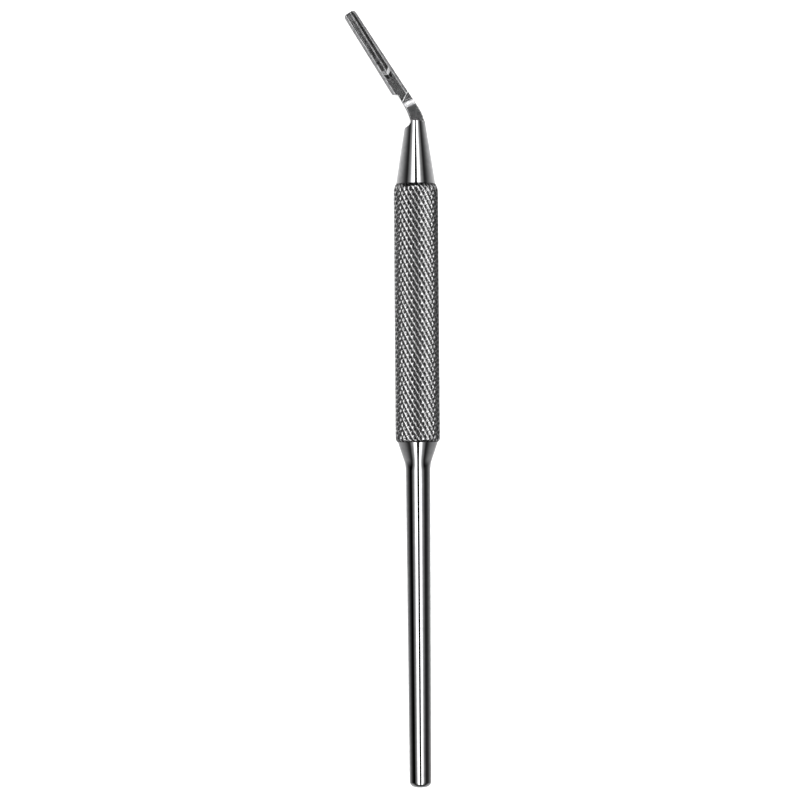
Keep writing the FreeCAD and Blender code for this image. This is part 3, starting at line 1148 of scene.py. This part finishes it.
@dataclass(frozen=True)
class Surroundings:
    """What the steel mirrors: two soft panels, a dark room and a pale ground.

    The panels stand left and right of the direction that the boss faces, with a narrow gap between
    them. Below and behind the handle the surroundings grow paler. Slanting faces see weaker light
    of their own, the knurl's flanks see a low strip, and the shaft's right side sees a faint fill.
    The ramps run over angles in degrees: the side is counted round the handle from where the boss
    faces, to the right, the width is the side without its sign, and the climb is counted towards
    the front end.
    """

    colour: Colour = (1.0, 1.0, 1.0, 1.0)
    sky_colour: Colour = (0.9, 0.9, 0.9, 1.0)
    panel_light: float = 2.2
    panel_core: Ramp = Ramp(20.0, 44.0, 1.0, 0.12, smooth=True)
    panel_edge: Ramp = Ramp(42.0, 68.0, 1.0, 0.0, smooth=True)
    panel_narrowing: Ramp = Ramp(0.0, 20.0, 1.0, 1.2)
    panel_front: Ramp = Ramp(36.0, 50.0, 1.0, 0.0, smooth=True)
    panel_rear: Ramp = Ramp(-52.0, -40.0, 0.0, 1.0, smooth=True)
    gap_centre: float = 1.0
    gap_half: Ramp = Ramp(4.0, 15.0, 9.8, 8.05)
    gap_rim: Ramp = Ramp(-1.0, 1.0, 0.0, 1.0)
    ground_start: Ramp = Ramp(0.309, -1.0, 0.0, 1.0)
    ground_power: float = 2.4
    ground_light: Ramp = Ramp(20.0, 30.0, 0.63, 0.1575, smooth=True)
    slant_rearward: float = -0.3
    slant_start: Ramp = Ramp(3.0, 10.0, 0.0, 1.0, smooth=True)
    slant_light: Ramp = Ramp(58.0, 112.0, 0.018, 0.28, smooth=True)
    strip_inner: Ramp = Ramp(78.0, 100.0, 0.0, 0.6, smooth=True)
    strip_outer: Ramp = Ramp(122.0, 145.0, 1.0, 0.2, smooth=True)
    strip_start: Ramp = Ramp(21.0, 27.0, 0.0, 1.0, smooth=True)
    fill_light: Ramp = Ramp(40.0, 60.0, 0.0, 0.018, smooth=True)
    fill_end: Ramp = Ramp(10.0, 15.0, 1.0, 0.0, smooth=True)

    def build(self) -> bpy.types.World:
        """Draws the surroundings. The camera itself sees a plain pale sky."""
        made = bpy.data.worlds.new("studio")
        draft = ShaderDraft(made)
        ray = draft.node("ShaderNodeTexCoord").outputs["Generated"]
        ahead = draft.along(ray, REST.facing())
        across = draft.along(ray, REST.rightward())
        side = draft.maths("DEGREES", draft.maths("ARCTAN2", across, ahead))
        width = draft.maths("ABSOLUTE", side)
        climb = draft.maths("DEGREES", draft.maths("ARCSINE", draft.along(ray, ALONG)))
        rise = draft.maths("ABSOLUTE", climb)
        narrowed = draft.product(width, draft.ramp(rise, self.panel_narrowing))
        beside = draft.maths("ABSOLUTE", draft.maths("SUBTRACT", side, self.gap_centre))
        past_gap = draft.maths("SUBTRACT", beside, draft.ramp(climb, self.gap_half))
        panels = draft.product(
            draft.ramp(narrowed, self.panel_core), draft.ramp(narrowed, self.panel_edge),
            draft.ramp(past_gap, self.gap_rim), draft.ramp(climb, self.panel_front),
            draft.ramp(climb, self.panel_rear), self.panel_light)
        below = draft.maths("POWER", draft.ramp(ahead, self.ground_start), self.ground_power)
        ground = draft.product(below, draft.ramp(climb, self.ground_light))
        slope = draft.maths("MAXIMUM", climb, draft.product(climb, self.slant_rearward))
        slanting = draft.product(
            draft.ramp(slope, self.slant_start), draft.ramp(width, self.slant_light))
        low_strip = draft.product(
            draft.ramp(width, self.strip_inner), draft.ramp(width, self.strip_outer),
            draft.ramp(climb, self.strip_start))
        fill = draft.product(draft.ramp(side, self.fill_light), draft.ramp(rise, self.fill_end))
        mirrored = draft.total(panels, ground, slanting, low_strip, fill)
        room = draft.node("ShaderNodeBackground", {"Color": self.colour, "Strength": mirrored})
        sky = draft.node("ShaderNodeBackground", {"Color": self.sky_colour, "Strength": 1.0})
        seen = draft.node("ShaderNodeLightPath").outputs["Is Camera Ray"]
        shown = draft.node("ShaderNodeMixShader", {
            0: seen, 1: room.outputs[0], 2: sky.outputs[0]})
        draft.node("ShaderNodeOutputWorld", {"Surface": shown.outputs[0]})
        bpy.context.scene.world = made
        return made


@dataclass(frozen=True)
class Studio:
    """The pale floor, the soft light, the surroundings and the camera."""

    floor_size: float = 6.0
    floor_colour: Colour = (0.82, 0.82, 0.82, 1.0)
    floor_roughness: float = 0.9
    wash_power: float = 24.0
    wash_size: float = 0.9
    wash_distance: float = 0.9
    camera_distance: float = 520.0
    sensor_width: float = 36.0
    nearest_seen: float = 0.01
    farthest_seen: float = 20.0
    frame_width: float = 164.72
    centre_across: float = -3.6
    centre_station: float = 79.68
    camera_lean: float = 0.46
    surroundings: Surroundings = Surroundings()

    def floor(self) -> Piece:
        """Lays the floor, which isn't part of the handle."""
        half = self.floor_size / 2
        mesh = bmesh.new()
        mesh.faces.new([mesh.verts.new((x * half, y * half, 0.0))
                        for x, y in ((-1, -1), (1, -1), (1, 1), (-1, 1))])
        matt = bpy.data.materials.new("floor_paper")
        draft = ShaderDraft(matt)
        shader = draft.node("ShaderNodeBsdfPrincipled", {
            "Base Color": self.floor_colour, "Roughness": self.floor_roughness,
            "Specular IOR Level": 0.0})
        draft.node("ShaderNodeOutputMaterial", {"Surface": shader.outputs[0]})
        made = as_object("floor", mesh, matt)
        made.visible_glossy = False
        return made

    def wash(self) -> Piece:
        """Hangs a large soft light over the floor."""
        data = bpy.data.lights.new("floor_wash", "AREA")
        data.shape = "DISK"
        data.size = self.wash_size
        data.energy = self.wash_power
        made = bpy.data.objects.new("floor_wash", data)
        bpy.context.scene.collection.objects.link(made)
        made.location = REST.facing() * self.wash_distance
        made.rotation_mode = "QUATERNION"
        made.rotation_quaternion = REST.facing().to_track_quat("Z", "Y")
        made.visible_glossy = False
        made.visible_camera = False
        return made

    def camera(self) -> Piece:
        """Stands the camera square to the bend, looking down on the handle."""
        data = bpy.data.cameras.new("camera")
        data.sensor_width = self.sensor_width
        data.lens = self.sensor_width * self.camera_distance / self.frame_width
        data.clip_start = self.nearest_seen
        data.clip_end = self.farthest_seen
        made = bpy.data.objects.new("camera", data)
        bpy.context.scene.collection.objects.link(made)
        target = REST.matrix() @ flat(self.centre_across, self.centre_station)
        facing, right = REST.facing(), REST.rightward()
        turn = Matrix.Rotation(-math.radians(self.camera_lean), 3, facing)
        axes = Matrix((turn @ right, turn @ ALONG, facing)).transposed()
        place = target + facing * self.camera_distance * MM
        made.matrix_world = Matrix.Translation(place) @ axes.to_4x4()
        bpy.context.scene.camera = made
        return made

    def build(self) -> None:
        """Sets up floor, light, surroundings and camera."""
        self.floor()
        self.wash()
        self.surroundings.build()
        self.camera()
        bpy.context.scene.view_settings.view_transform = "Standard"


def main() -> None:
    """Builds the handle piece by piece, then the studio around it."""
    logging.basicConfig(level=logging.INFO, format="%(name)s: %(message)s")
    turned_finish = TurnedSteel().material()
    knurled_finish = KnurledSteel().material()
    milled_finish = MilledSteel().material()
    # The boss's copy of the milled steel: its lower roughness is a finish smoothed by rubbing, and
    # its darker dull colour is painted shade that darkens the boss.
    rubbed_shaded_finish = MilledSteel(
        Surface.RUBBED_SHADED, dull=(0.2, 0.2, 0.205, 1.0), roughness=Ramp(0.3, 0.7, 0.05, 0.2)
    ).material()
    RearShaft().build(turned_finish)
    KnurledGrip().build(knurled_finish)
    BladeFitting().build(milled_finish, rubbed_shaded_finish, turned_finish)
    Studio().build()


if __name__ == "__main__":
    main()
